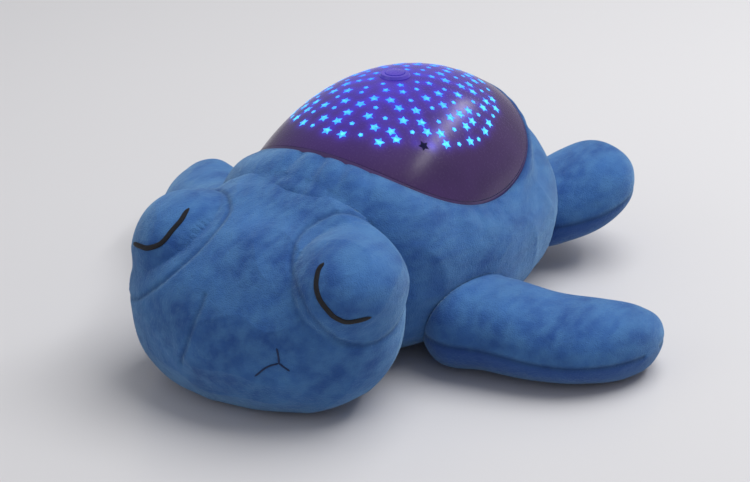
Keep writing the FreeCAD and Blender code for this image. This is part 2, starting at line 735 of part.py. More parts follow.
def eye(side):
    """A round mound on the head, cut by the head."""
    centre = Vector(EYE_CENTRE.x * side, EYE_CENTRE.y, EYE_CENTRE.z)
    rings = []
    for share in (0.98, 0.7, 0.3, -0.3, -0.7, -0.98):
        width = math.sqrt(1 - share ** 2)
        rings.append((centre.y + share * EYE_RADII.y, centre.x, centre.z, EYE_RADII.x * width,
                      EYE_RADII.z * width, EYE_RADII.z * width, TOP_FULLNESS))
    mound = soft(rings, HEAD_ORIGIN, HEAD_YAW)
    return mound.cut(head_cutter).cut(body_cutter)


for side, name in ((1, "left"), (-1, "right")):
    sub_part(shape_feature("eye_" + name, eye(side)), name + "_eye_mound")
    front_at = Vector(FRONT_ORIGIN.x * side, FRONT_ORIGIN.y, FRONT_ORIGIN.z)
    front = standing(soft(mirrored(FRONT_FLIPPER, side), front_at, FRONT_YAW[side]))
    front = front.cut(body_cutter).cut(head_cutter)
    sub_part(shape_feature("front_" + name, front), "front_%s_flipper" % name)
    rear_at = Vector(REAR_ORIGIN.x * side, REAR_ORIGIN.y, REAR_ORIGIN.z)
    rear = soft(mirrored(REAR_FLIPPER, side), rear_at, REAR_YAW[side]).cut(body_cutter)
    sub_part(shape_feature("rear_" + name, rear), "rear_%s_flipper" % name)

doc.recompute()

failed = []
for thing in doc.Objects:
    if "Invalid" in thing.State or "Error" in thing.State:
        failed.append(thing.Name + " " + str(thing.State))
for thing in SUB_PARTS:
    if thing.Shape.isNull() or not thing.Shape.isValid():
        failed.append(thing.Label + " has no valid shape")
if failed:
    raise RuntimeError("; ".join(failed))

os.makedirs("parts", exist_ok=True)
for thing in SUB_PARTS:
    thing.Shape.exportStep("parts/%s.step" % thing.Label)
    print(thing.Label, len(thing.Shape.Solids), "solids", round(thing.Shape.Volume), "mm3")
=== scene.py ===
import math

import bpy
import numpy as np
from mathutils import Matrix, Vector


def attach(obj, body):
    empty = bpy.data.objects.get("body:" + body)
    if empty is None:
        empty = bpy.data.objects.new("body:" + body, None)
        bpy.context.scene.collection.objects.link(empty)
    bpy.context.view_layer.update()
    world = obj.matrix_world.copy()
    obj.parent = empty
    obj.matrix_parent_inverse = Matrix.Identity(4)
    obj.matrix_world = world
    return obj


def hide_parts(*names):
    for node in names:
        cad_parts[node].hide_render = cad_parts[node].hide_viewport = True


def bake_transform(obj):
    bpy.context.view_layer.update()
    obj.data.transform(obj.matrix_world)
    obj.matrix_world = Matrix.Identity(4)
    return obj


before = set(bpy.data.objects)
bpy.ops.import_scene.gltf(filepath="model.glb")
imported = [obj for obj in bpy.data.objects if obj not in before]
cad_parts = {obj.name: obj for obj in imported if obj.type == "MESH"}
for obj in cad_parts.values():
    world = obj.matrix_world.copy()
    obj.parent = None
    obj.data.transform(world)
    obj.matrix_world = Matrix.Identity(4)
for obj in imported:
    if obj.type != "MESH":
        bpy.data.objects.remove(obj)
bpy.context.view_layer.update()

# A plush turtle that carries a star-windowed night light in its back.
# Shapes are worked out in millimetres and put into the meshes in metres.
MM = 0.001

# camera, at the photograph's angle: it looks down on the head's left side
IMAGE_WIDTH = 750
IMAGE_MIDDLE = (375, 241)
FOCUS_PIXELS = 1610
SENSOR = 36
AIM = Vector((0, 0, 0.0704))
AIM_PIXEL = (395, 169)
AZIMUTH = math.radians(33)
ELEVATION = math.radians(23)
DISTANCE = 0.88

lens = bpy.data.cameras.new("photo_camera")
lens.sensor_width = SENSOR
lens.lens = SENSOR * FOCUS_PIXELS / IMAGE_WIDTH
lens.shift_x = -(AIM_PIXEL[0] - IMAGE_MIDDLE[0]) / IMAGE_WIDTH
lens.shift_y = (AIM_PIXEL[1] - IMAGE_MIDDLE[1]) / IMAGE_WIDTH
camera = bpy.data.objects.new("photo_camera", lens)
away = Vector((math.cos(ELEVATION) * math.sin(AZIMUTH),
               -math.cos(ELEVATION) * math.cos(AZIMUTH), math.sin(ELEVATION)))
camera.location = AIM + DISTANCE * away
camera.rotation_euler = (-away).to_track_quat("-Z", "Y").to_euler()
bpy.context.scene.collection.objects.link(camera)
bpy.context.scene.camera = camera
bpy.context.scene.view_settings.view_transform = "Standard"


# shapes: arrays of points worked out from formulas, in millimetres


def smooth(at, knots, values):
    """A cubic through the knots, with each knot's slope taken from its two neighbours."""
    slopes = np.gradient(values, knots)
    low = np.clip(np.searchsorted(knots, at) - 1, 0, len(knots) - 2)
    step = knots[low + 1] - knots[low]
    t = np.clip((at - knots[low]) / step, 0, 1)
    level = values[low] * (1 + 2 * t) * (1 - t) ** 2 + values[low + 1] * t * t * (3 - 2 * t)
    return level + step * (slopes[low] * t * (1 - t) ** 2 - slopes[low + 1] * t * t * (1 - t))


def waves(points, length, seed, count=9):
    """Smooth hills and hollows about nought: the mean of sine waves in seeded directions."""
    chance = np.random.default_rng(seed)
    heading = chance.normal(size=(count, 3))
    heading /= np.linalg.norm(heading, axis=1, keepdims=True)
    pace = 2 * np.pi / (length * chance.uniform(0.7, 1.5, count))
    phase = chance.uniform(0, 2 * np.pi, count)
    return 1.7 * np.sin(points @ (heading * pace[:, None]).T + phase).mean(axis=-1)


def grid_normals(grid):
    """Outward unit normals of a grid whose columns close: the cross product of its two
    slopes, turned as a whole so that they point away from the grid's middle."""
    across = np.roll(grid, -1, axis=1) - np.roll(grid, 1, axis=1)
    normal = np.cross(across, np.gradient(grid, axis=0))
    normal /= np.maximum(np.linalg.norm(normal, axis=-1, keepdims=True), 1e-9)
    outward = np.sign(np.sum(normal * (grid - grid.mean(axis=(0, 1))), axis=-1).mean())
    return normal * outward


def distance_to(points, path):
    """Each point's distance from the nearest place on a path of straight steps."""
    nearest = np.full(points.shape[:-1], 1e9)
    for start, end in zip(path[:-1], path[1:]):
        step = end - start
        share = np.clip((points - start) @ step / (step @ step), 0, 1)
        gap = np.linalg.norm(points - start - share[..., None] * step, axis=-1)
        nearest = np.minimum(nearest, gap)
    return nearest


def turned(points, yaw, origin):
    """Points turned about +Z by yaw degrees, then moved to the origin."""
    cosine = math.cos(math.radians(yaw))
    sine = math.sin(math.radians(yaw))
    x = points[..., 0] * cosine - points[..., 1] * sine + origin[0]
    y = points[..., 0] * sine + points[..., 1] * cosine + origin[1]
    return np.stack([x, y, points[..., 2] + origin[2]], axis=-1)


def sizes_along(table, along):
    """Middle across, middle height, half width, rise and drop at each place along a form.
    The squares of the half sizes follow cubics, which reach nought at both ends."""
    knots = table[:, 0]
    at = np.clip(along, knots[0], knots[-1])
    found = [smooth(at, knots, table[:, 1]), smooth(at, knots, table[:, 2])]
    for column in (3, 4, 5):
        found.append(np.sqrt(np.maximum(smooth(at, knots, table[:, column] ** 2), 1e-4)))
    return found


def is_outside(table, points):
    """True where a point is past the form's ends or outside its oval there: the shares of
    half width and half height, each raised to the oval's squareness, add up to more than 1."""
    across, middle, wide, rise, drop = sizes_along(table, points[..., 1])
    over = points[..., 2] > middle
    tall = np.where(over, rise, drop)
    square = smooth(np.clip(points[..., 1], table[0, 0], table[-1, 0]), table[:, 0], table[:, 6])
    power = np.where(over, square, UNDER_SQUARENESS)
    share = np.abs((points[..., 0] - across) / wide) ** (square + 0.1)
    share = share + np.abs((points[..., 2] - middle) / tall) ** power
    past = (points[..., 1] < table[0, 0]) | (points[..., 1] > table[-1, 0])
    return (share > 1) | past


def meet(table, core, rays, reach):
    """How far along each ray from its core the form's surface is, found by halving."""
    low = np.zeros(rays.shape[:-1])
    high = np.full(rays.shape[:-1], float(reach))
    for _ in range(24):
        middle = (low + high) / 2
        out = is_outside(table, core + rays * middle[..., None])
        high = np.where(out, middle, high)
        low = np.where(out, low, middle)
    return high


# stations of each stuffed form: along, across, middle height, half width, rise, drop,
# and for the body and the head how square the upper half is, 2 for an ellipse
BODY = np.array([
    (-104, 0, 57.0, 0.0, 0.0, 0.0, 2.3),
    (-101, 0, 56.0, 30.0, 27.0, 38.0, 2.3),
    (-88, 0, 52.0, 54.0, 45.0, 51.5, 2.3),
    (-69, 0, 46.0, 68.5, 58.0, 48.0, 2.3),
    (-42, 0, 42.2, 77.5, 52.0, 44.6, 2.3),
    (0, 0, 40.5, 81.8, 44.0, 43.0, 2.25),
    (42, 0, 42.2, 75.5, 47.0, 44.6, 2.05),
    (69, 0, 44.0, 63.0, 52.0, 46.0, 1.95),
    (86, 0, 46.0, 47.0, 36.0, 40.0, 2.0),
    (96, 0, 48.0, 27.0, 21.0, 27.0, 2.0),
    (100, 0, 48.5, 0.0, 0.0, 0.0, 2.0),
], dtype=float)
HEAD = np.array([
    (-90, 0, 35.0, 0.0, 0.0, 0.0, 2.3),
    (-86.5, 0, 35.5, 22.0, 13.0, 16.0, 2.3),
    (-80, 0, 36.5, 40.0, 23.0, 28.0, 2.3),
    (-70, 0, 38.0, 57.0, 33.0, 37.5, 2.4),
    (-54, 0, 41.5, 69.0, 39.5, 43.0, 2.5),
    (-33, 0, 45.0, 70.5, 42.5, 47.0, 2.5),
    (-12, 0, 48.5, 61.0, 45.5, 48.0, 2.4),
    (6, 0, 50.0, 46.0, 45.0, 40.0, 2.3),
    (20, 0, 50.0, 0.0, 0.0, 0.0, 2.3),
], dtype=float)
FRONT_FLIPPER = np.array([
    (-108, 13, 17.0, 0.0, 0.0, 0.0),
    (-104, 11, 17.0, 14.0, 10.0, 11.0),
    (-94, 6, 17.0, 22.5, 15.5, 16.0),
    (-75, -1, 17.5, 28.0, 18.0, 18.0),
    (-53, -5, 18.5, 30.0, 19.0, 19.5),
    (-26, -5, 21.0, 30.0, 21.0, 22.0),
    (0, -4, 21.0, 28.0, 21.0, 22.0),
    (16, -4, 21.0, 0.0, 0.0, 0.0),
], dtype=float)
REAR_FLIPPER = np.array([
    (-71, 0, 45.0, 0.0, 0.0, 0.0),
    (-67, 0, 44.0, 13.0, 10.0, 8.0),
    (-56, 0, 41.0, 26.0, 20.5, 15.0),
    (-38, 0, 36.0, 31.0, 24.5, 20.0),
    (-18, 0, 32.0, 28.0, 22.5, 20.0),
    (0, 0, 30.0, 20.0, 18.0, 18.0),
    (10, 0, 29.0, 0.0, 0.0, 0.0),
], dtype=float)
UNDER_SQUARENESS = 2.9
BODY_CORE = np.array([0.0, 0.0, 41.0])
BELLY_OPENING = (42.0, 54.0)
TUB_FOOT = (39.0, 51.0)
TUB_WALL = (64.2, 68.8)
HEAD_ORIGIN = np.array([-4.0, -82.0, 0.0])
HEAD_YAW = 10.0
FRONT_ORIGIN = np.array([64.0, -44.0, 0.0])
FRONT_YAW = {1: 104.0, -1: -120.0}
REAR_ORIGIN = np.array([46.0, 66.0, 0.0])
REAR_YAW = {1: 152.0, -1: -152.0}
FRONT_ROOT = (77.5, -44.0, 30.0)
REAR_ROOT = (50.8, 81.9, 40.0)

# the head's core, and the middle and half sizes of its left and right eye mounds
HEAD_CORE = np.array([0.0, -36.0, 45.0])
EYES = ((np.array([46.5, -44.5, 65.0]), np.array([27.0, 32.0, 23.0])),
        (np.array([-46.0, -36.0, 68.5]), np.array([25.0, 28.0, 22.0])))
EYE_FILLET = 12.0

# dome: a barrel round an axis along X, cut by a lying cylinder that leaves a saddle rim
CROWN_ACROSS = 67.5
RING_RADIUS = 68.0
RING_CENTRE = -10.6
CROWN_ALONG = RING_RADIUS + CROWN_ACROSS
SADDLE_RADIUS = 92.0
SADDLE_CENTRE = 164.2
RIM_HALF_LENGTH = 70.51
DOME_WALL = 2.2
CROWN_HOLE = 7.1


def on_barrel(across, along, grow=0.0):
    """Points of the barrel, the outer half of a ring whose tube is as wide as the crown: one
    angle goes across the tube, the other along the ring."""
    reach = RING_RADIUS + (CROWN_ACROSS + grow) * np.cos(across)
    x = (CROWN_ACROSS + grow) * np.sin(across)
    return np.stack([x, reach * np.sin(along), RING_CENTRE + reach * np.cos(along)], axis=-1)


def rim_angles(turn):
    """The barrel's two angles where the saddle cuts it, at each turn round the rim: the turn
    gives the length, the saddle's circle the height, and the barrel's circle the width."""
    y = RIM_HALF_LENGTH * np.sin(turn)
    z = SADDLE_CENTRE - np.sqrt(SADDLE_RADIUS ** 2 - y ** 2)
    reach = np.hypot(y, z - RING_CENTRE)
    x = np.sqrt(np.maximum(CROWN_ACROSS ** 2 - (reach - RING_RADIUS) ** 2, 0))
    across = np.arctan2(x, reach - RING_RADIUS)
    return across * np.sign(np.cos(turn)), np.arctan2(y, z - RING_CENTRE)


def floor_rest(grid):
    """The grid pressed up off the floor: each height becomes half the sum of itself and the
    root of its square and a little more, which runs out on the floor."""
    rested = grid.copy()
    rested[..., 2] = 0.5 * (grid[..., 2] + np.sqrt(grid[..., 2] ** 2 + 0.6))
    return rested


def oval_reach(plan, half_sizes):
    """How far an oval of two half sizes reaches in each direction of the plan."""
    half_width, half_length = half_sizes
    return half_width * half_length / np.hypot(half_length * plan[:, 0],
                                               half_width * plan[:, 1])


def body_grid(columns=320, rows=150):
    """Rings round the dome: each half plane through +Z holds a fan of rays from the core,
    from the rim over the side to the belly opening, each run out to the body's ovals. Near
    the rim the skin is drawn to the collar, by a share that falls as a bell curve."""
    turn = np.linspace(0, 2 * np.pi, columns, endpoint=False)
    across, along = rim_angles(turn)
    rim = on_barrel(across, along, 0.7)
    plan = rim[:, :2] / np.linalg.norm(rim[:, :2], axis=1, keepdims=True)
    collar = rim + np.column_stack([plan * 0.4, np.full(columns, -1.5)])
    height = BODY_CORE[2]
    first = np.arctan2(np.linalg.norm(collar[:, :2], axis=1), collar[:, 2] - height)
    last = np.pi - np.arctan2(oval_reach(plan, BELLY_OPENING), height)
    share = np.linspace(0, 1, rows)[:, None]
    angle = first + (last - first) * share
    rays = np.stack([np.sin(angle) * plan[:, 0], np.sin(angle) * plan[:, 1],
                     np.cos(angle)], axis=-1)
    outer = BODY_CORE + rays * meet(BODY, BODY_CORE, rays, 160)[..., None]
    stretch = np.linalg.norm(outer - outer[0], axis=-1)
    outer = outer + (collar - outer[0]) * np.exp(-(stretch / 9) ** 2)[..., None]
    return turn, outer, plan, collar


def body_inside(plan, collar, belly):
    """The hidden wall: from the belly opening up the tub's foot, out under its shoulder
    and up to the flange, on ovals just outside the tub."""
    foot = oval_reach(plan, TUB_FOOT)
    wall = oval_reach(plan, TUB_WALL)
    rings = [(foot, np.full(len(foot), height)) for height in (5.0, 22.0, 40.0)]
    rings += [(wall, np.full(len(wall), 42.0)), (wall, collar[:, 2] - 14),
              (wall, collar[:, 2] - 3.2)]
    inner = [np.column_stack([plan * reach[:, None], level]) for reach, level in rings]
    return np.array([belly * [1, 1, 0] + [0, 0, 2.0]] + inner)


def polar_rays(rows, columns):
    """Unit rays from a core, on rings round the -Y axis, without its two poles."""
    tilt = np.pi * (np.arange(rows) + 1) / (rows + 1)
    spin = 2 * np.pi * np.arange(columns) / columns
    tilt, spin = np.meshgrid(tilt, spin, indexing="ij")
    return np.stack([np.sin(tilt) * np.cos(spin), -np.cos(tilt), np.sin(tilt) * np.sin(spin)],
                    axis=-1)


def to_ball(core, rays, centre, radii):
    """How far along each ray it leaves a stretched ball, or nought where it misses it: the
    larger root of the quadratic in the distance."""
    a = ((rays / radii) ** 2).sum(axis=-1)
    offset = (core - centre) / radii
    b = ((rays / radii) * offset).sum(axis=-1)
    inside = b * b - a * ((offset ** 2).sum() - 1)
    return np.where(inside > 0, (np.sqrt(np.maximum(inside, 0)) - b) / a, 0)


def head_grid(rows=230, columns=320):
    """Rays from the head's core, each run out to the head's ovals or, where it is farther,
    to one of the two eye mounds. Where the two distances differ by less than the fillet, a
    quarter of the square of what is missing, over the fillet, is added."""
    rays = polar_rays(rows, columns)
    reach = meet(HEAD, HEAD_CORE, rays, 150)
    mound = np.zeros(reach.shape)
    for centre, radii in EYES:
        mound = np.maximum(mound, to_ball(HEAD_CORE, rays, centre, radii))
    fillet = np.maximum(EYE_FILLET - np.abs(reach - mound), 0) ** 2 / (4 * EYE_FILLET)
    return HEAD_CORE + rays * (np.maximum(reach, mound) + fillet)[..., None]


def pressed_on_body(grid, heading, gap=0.3):
    """Points that lie in the body slide along the heading until they rest on its skin."""
    inside = ~is_outside(BODY, grid)
    run = meet(BODY, grid, np.broadcast_to(heading, grid.shape), 120)
    return grid + heading * np.where(inside, run + gap, 0)[..., None]


def flipper_grid(table, side, rows, columns):
    """Ovals across a curved line from tip to root: their places follow a cosine, closer
    together towards both ends, and their corners are the sine and cosine to the power 0.9."""
    along = table[0, 0] + (table[-1, 0] - table[0, 0]) * 0.5 * (
        1 - np.cos(np.pi * (np.arange(rows) + 1) / (rows + 1)))
    spin = 2 * np.pi * np.arange(columns) / columns
    along, spin = np.meshgrid(along, spin, indexing="ij")
    across, middle, wide, rise, drop = sizes_along(table, along)
    x = np.sign(np.cos(spin)) * np.abs(np.cos(spin)) ** 0.9
    z = np.sign(np.sin(spin)) * np.abs(np.sin(spin)) ** 0.9
    tall = np.where(z > 0, rise, drop)
    return np.stack([across * side + wide * x, along, middle + tall * z], axis=-1)


# meshes


def mesh_piece(name, points, faces, attributes=None):
    """A smooth mesh from points in millimetres. Its faces are turned where the volume that
    they enclose, a sixth of the sum of their triple products, is below nought."""
    mesh = bpy.data.meshes.new(name)
    mesh.from_pydata((points * MM).tolist(), [], faces)
    mesh.update()
    mesh.calc_loop_triangles()
    corners = np.zeros(len(mesh.loop_triangles) * 3, int)
    mesh.loop_triangles.foreach_get("vertices", corners)
    a, b, c = points[corners.reshape(-1, 3)].transpose(1, 0, 2)
    if np.einsum("ij,ij->i", a, np.cross(b, c)).sum() < 0:
        mesh.flip_normals()
    mesh.polygons.foreach_set("use_smooth", np.ones(len(mesh.polygons), bool))
    for label, values in (attributes or {}).items():
        layer = mesh.attributes.new(label, "FLOAT", "POINT")
        layer.data.foreach_set("value", np.asarray(values, np.float32).ravel())
    piece = bpy.data.objects.new(name, mesh)
    bpy.context.scene.collection.objects.link(piece)
    return piece


def quads(rows, columns, rows_close):
    """Faces between neighbouring rows and columns of a grid; the columns always close."""
    row = np.arange(rows if rows_close else rows - 1)[:, None]
    column = np.arange(columns)[None, :]
    following = (row + 1) % rows
    beside = (column + 1) % columns
    corners = np.stack([row * columns + column, row * columns + beside,
                        following * columns + beside, following * columns + column], axis=-1)
    return corners.reshape(-1, 4).tolist()


def ring_piece(name, grid, attributes=None):
    """A closed ring: both its rows and its columns come round."""
    rows, columns = grid.shape[:2]
    return mesh_piece(name, grid.reshape(-1, 3), quads(rows, columns, True), attributes)


def poled_piece(name, grid, attributes=None):
    """A closed skin: at each end a fan of triangles runs from the row to its middle."""
    rows, columns = grid.shape[:2]
    ends = [grid[0].mean(axis=0), grid[-1].mean(axis=0)]
    points = np.vstack([grid.reshape(-1, 3), ends])
    faces = quads(rows, columns, False)
    count = rows * columns
    fan = np.arange(columns)
    beside = (fan + 1) % columns
    pole = np.full(columns, count)
    last = count - columns
    faces += np.column_stack([pole, beside, fan]).tolist()
    faces += np.column_stack([pole + 1, fan + last, beside + last]).tolist()
    padded = {}
    for label, values in (attributes or {}).items():
        padded[label] = np.append(values.ravel(), [values[0].mean(), values[-1].mean()])
    return mesh_piece(name, points, faces, padded)


def tube_grid(path, normals, half_wide, half_tall, sides=8):
    """Ovals across a path, one axis along the surface under it and one along its normals,
    drawn in at both ends by the root of 1 less the twelfth power of the way along."""
    ahead = np.gradient(path, axis=0)
    ahead /= np.linalg.norm(ahead, axis=1, keepdims=True)
    beside = np.cross(ahead, normals)
    beside /= np.linalg.norm(beside, axis=1, keepdims=True)
    spin = 2 * np.pi * np.arange(sides) / sides
    share = np.linspace(-1, 1, len(path))
    taper = np.sqrt(np.maximum(1 - np.abs(share) ** 12, 0.08))[:, None, None]
    wide = half_wide * taper * np.cos(spin)[None, :, None]
    tall = half_tall * taper * np.sin(spin)[None, :, None]
    return path[:, None] + beside[:, None] * wide + normals[:, None] * tall


def sample(grid, row, column):
    """Values of a grid between its rows and columns, each the weighted mean of the four
    around it. The columns close."""
    row = np.clip(row, 0, grid.shape[0] - 1.001)
    low = np.floor(row).astype(int)
    left = np.floor(column).astype(int)
    part = (row - low)[:, None]
    side = (column - left)[:, None]
    left = left % grid.shape[1]
    right = (left + 1) % grid.shape[1]
    top = grid[low, left] * (1 - side) + grid[low, right] * side
    bottom = grid[low + 1, left] * (1 - side) + grid[low + 1, right] * side
    return top * (1 - part) + bottom * part


def mirrored(path):
    """A path of tilts and spins on the other side of the head: each spin from 180 degrees."""
    return tuple((tilt, 180 - spin) for tilt, spin in path)


def on_grid(grid, path, count):
    """Values of a polar grid along a path of tilts and spins, with a cubic through them."""
    tilt, spin = np.array(path, dtype=float).T
    spin = np.unwrap(spin, period=360)
    knots = np.arange(len(path), dtype=float)
    at = np.linspace(0, len(path) - 1, count)
    row = smooth(at, knots, tilt) / 180 * (grid.shape[0] + 1) - 1
    column = (smooth(at, knots, spin) % 360) / 360 * grid.shape[1]
    return sample(grid, row, column)


# finishes


class Finish:
    """A node material, built from its principled shader outwards."""

    def __init__(self, name, colour, roughness):
        """A material of one colour and roughness, which patterns may then take over."""
        self.material = bpy.data.materials.new(name)
        self.material.use_nodes = True
        self.tree = self.material.node_tree
        self.shader = self.tree.nodes["Principled BSDF"]
        self.shader.inputs["Base Color"].default_value = (*colour, 1)
        self.shader.inputs["Roughness"].default_value = roughness
        self.place = self.tree.nodes.new("ShaderNodeTexCoord").outputs["Object"]

    def set(self, **values):
        """Numbers and colours on the shader's own sockets."""
        for label, value in values.items():
            socket = self.shader.inputs[label.replace("_", " ")]
            socket.default_value = (*value, 1) if isinstance(value, tuple) else value

    def node(self, kind, sockets, **settings):
        """A node with its settings, its sockets linked or given numbers."""
        made = self.tree.nodes.new(kind)
        for label, value in settings.items():
            setattr(made, label, value)
        for key, value in sockets.items():
            if isinstance(value, bpy.types.NodeSocket):
                self.tree.links.new(value, made.inputs[key])
            else:
                made.inputs[key].default_value = value
        return made

    def noise(self, scale, detail=2.0, stretch=(1, 1, 1)):
        """Noise on the piece's own coordinates, about scale hills to the metre."""
        spread = self.node("ShaderNodeMapping", {"Vector": self.place, "Scale": stretch})
        made = self.node("ShaderNodeTexNoise", {"Vector": spread.outputs[0], "Scale": scale,
                                                "Detail": detail})
        return made.outputs["Fac"]

    def attribute(self, name):
        """The piece's own value at each place, such as how much painted shade a groove gets."""
        return self.node("ShaderNodeAttribute", {}, attribute_name=name).outputs["Fac"]

    def spread(self, value, low, high, to_low=0.0, to_high=1.0):
        """The value's range from low to high, spread over another range."""
        made = self.node("ShaderNodeMapRange", {"Value": value, "From Min": low,
                                                "From Max": high, "To Min": to_low,
                                                "To Max": to_high})
        return made.outputs[0]

    def mix(self, share, first, second):
        """The second colour over the first, by its share."""
        made = self.node("ShaderNodeMix", {0: share, 6: first, 7: second}, data_type="RGBA")
        return made.outputs[2]

    def times(self, first, second):
        """The product of two values."""
        return self.node("ShaderNodeMath", {0: first, 1: second},
                         operation="MULTIPLY").outputs[0]

    def colour(self, socket):
        """The pattern that gives the base colour."""
        self.tree.links.new(socket, self.shader.inputs["Base Color"])

    def rough(self, socket):
        """The pattern that gives the roughness."""
        self.tree.links.new(socket, self.shader.inputs["Roughness"])

    def glow(self, colour, strength):
        """Light given off, in a colour and a strength that both vary over the piece."""
        self.tree.links.new(colour, self.shader.inputs["Emission Color"])
        self.tree.links.new(strength, self.shader.inputs["Emission Strength"])

    def bump(self, *layers):
        """Heights in metres, one over the other."""
        normal = None
        for height, distance in layers:
            sockets = {"Height": height, "Distance": distance, "Strength": 1.0}
            if normal is not None:
                sockets["Normal"] = normal
            normal = self.node("ShaderNodeBump", sockets).outputs[0]
        self.tree.links.new(normal, self.shader.inputs["Normal"])


def plush_finish():
    """Short blue pile: smudged nap in two tones, fibre speckle, painted shade in grooves and on
    the flippers' under panels, a pale sheen.
    """
    f = Finish("blue_plush", (0.06, 0.16, 0.42), 0.95)
    f.set(Sheen_Weight=0.65, Sheen_Roughness=0.4, Sheen_Tint=(0.5, 0.78, 1.0),
          Specular_IOR_Level=0.1)
    nap = f.spread(f.noise(42, 3.5, (1, 0.6, 1.3)), 0.35, 0.68)
    smudge = f.spread(f.noise(150, 3.0, (1, 0.4, 1)), 0.38, 0.66)
    fibre = f.spread(f.noise(2600, 1.0), 0.3, 0.7)
    tone = f.mix(nap, (0.029, 0.092, 0.31, 1), (0.06, 0.178, 0.46, 1))
    tone = f.mix(f.times(smudge, 0.5), tone, (0.1, 0.26, 0.52, 1))
    tone = f.mix(f.times(fibre, 0.22), tone, (0.02, 0.06, 0.2, 1))
    # painted shade: the flippers' under panels darker
    tone = f.mix(f.times(f.attribute("under"), 0.8), tone, (0.03, 0.075, 0.27, 1))
    # painted shade: darker in the head's creases, along the flippers' sewn edges and just below
    # the dome's rim
    tone = f.mix(f.times(f.attribute("painted_groove_shade"), 0.7), tone, (0.012, 0.03, 0.11, 1))
    f.colour(tone)
    f.bump((f.noise(230, 3.0, (1, 0.6, 1)), 0.0007), (f.noise(1700, 2.0), 0.0005))
    return f.material


def shell_finish():
    """Dark purple moulded plastic, lit blue from inside towards the crown."""
    f = Finish("purple_shell", (0.045, 0.022, 0.09), 0.25)
    f.set(Coat_Weight=0.1, Coat_Roughness=0.2, Specular_IOR_Level=0.3)
    cloud = f.spread(f.noise(40, 2.0), 0.3, 0.7)
    f.colour(f.mix(cloud, (0.042, 0.02, 0.085, 1), (0.056, 0.026, 0.11, 1)))
    f.rough(f.spread(f.noise(700, 2.0), 0.3, 0.7, 0.2, 0.3))
    f.bump((f.noise(500, 1.0), 0.00001))
    f.glow(f.mix(f.attribute("lit"), (0.06, 0.02, 0.4, 1), (0.02, 0.03, 1.0, 1)),
           f.attribute("lit"))
    return f.material


def window_finish():
    """Lit windows: pale cyan in the middle, blue at the points, violet near the crown."""
    f = Finish("lit_window", (0.0, 0.006, 0.03), 0.5)
    f.set(Specular_IOR_Level=0.15)
    edge = f.mix(f.attribute("crown"), (0.0, 0.16, 1.0, 1), (0.01, 0.04, 1.0, 1))
    middle = f.mix(f.attribute("crown"), (0.12, 0.75, 1.0, 1), (0.04, 0.27, 1.0, 1))
    grain = f.spread(f.noise(600, 1.0), 0.3, 0.7, 1.1, 2.3)
    f.glow(f.mix(f.attribute("core"), edge, middle), grain)
    return f.material


def plain_finish(name, colour, roughness, metallic=0.0, grain=500, depth=0.00003, **more):
    """A moulded or metal surface with a little mottling and a fine tooth."""
    f = Finish(name, colour, roughness)
    f.set(Metallic=metallic, **more)
    darker = tuple(0.8 * part for part in colour) + (1,)
    lighter = tuple(min(1.15 * part, 1) for part in colour) + (1,)
    f.colour(f.mix(f.spread(f.noise(grain / 8, 2.0), 0.3, 0.7), darker, lighter))
    f.rough(f.spread(f.noise(grain, 2.0), 0.3, 0.7, roughness * 0.85, min(roughness * 1.2, 1)))
    f.bump((f.noise(grain * 2, 1.0), depth))
    return f.material


plush = plush_finish()
shell = shell_finish()
windows_lit = window_finish()
thread = plain_finish("black_thread", (0.01, 0.01, 0.014), 0.75, grain=1500, depth=0.0002)
navy_thread = plain_finish("navy_thread", (0.012, 0.028, 0.09), 0.85, grain=1500, depth=0.0002)
dark_window = plain_finish("dark_window", (0.006, 0.006, 0.04), 0.6,
                           Specular_IOR_Level=0.1)
housing = plain_finish("purple_housing", (0.05, 0.026, 0.11), 0.32, grain=600, depth=0.00004)
black_plastic = plain_finish("black_plastic", (0.02, 0.02, 0.024), 0.45)
clear_plastic = plain_finish("clear_liner", (0.75, 0.8, 0.9), 0.1)
green_board = plain_finish("green_board", (0.02, 0.16, 0.07), 0.4)
steel = plain_finish("steel", (0.62, 0.62, 0.6), 0.3, metallic=1.0)
cell_wrap = plain_finish("cell_wrap", (0.03, 0.035, 0.04), 0.35)
# the button's plastic is given a faint painted blue glow
button_plastic_painted_glow = plain_finish("button_plastic_painted_glow", (0.09, 0.05, 0.3), 0.25,
                              Emission_Color=(0.05, 0.06, 0.9), Emission_Strength=0.25)
lamp_red = plain_finish("lamp_red", (0.7, 0.05, 0.04), 0.15)
lamp_green = plain_finish("lamp_green", (0.05, 0.6, 0.1), 0.15)
lamp_blue = plain_finish("lamp_blue", (0.05, 0.1, 0.8), 0.15)

NODE_FINISH = {
    "dome_shell": shell, "star_liner": clear_plastic, "housing_base": housing,
    "clamp_ring": black_plastic, "battery_door": housing, "door_screw": steel,
    "battery_1": cell_wrap, "battery_2": cell_wrap, "battery_3": cell_wrap,
    "contact_springs": steel, "contact_leaves": steel, "lamp_deck": black_plastic,
    "lamp_board": green_board, "board_screws": steel, "lamp_blue": lamp_blue,
    "lamp_green": lamp_green, "lamp_red": lamp_red, "tact_switch": black_plastic,
    "button_bezel": button_plastic_painted_glow, "button_cap": button_plastic_painted_glow,
    "button_stem": black_plastic, "button_post": black_plastic,
}
for label, finish in NODE_FINISH.items():
    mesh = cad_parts[label].data
    mesh.materials.clear()
    mesh.materials.append(finish)


def soft_piece(piece, fill, *stands_for):
    """A stuffed plush piece: its material and what it replaces. The fill argument, how full it
    is, is not used.
    """
    piece.data.materials.append(plush)
    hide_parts(*stands_for)


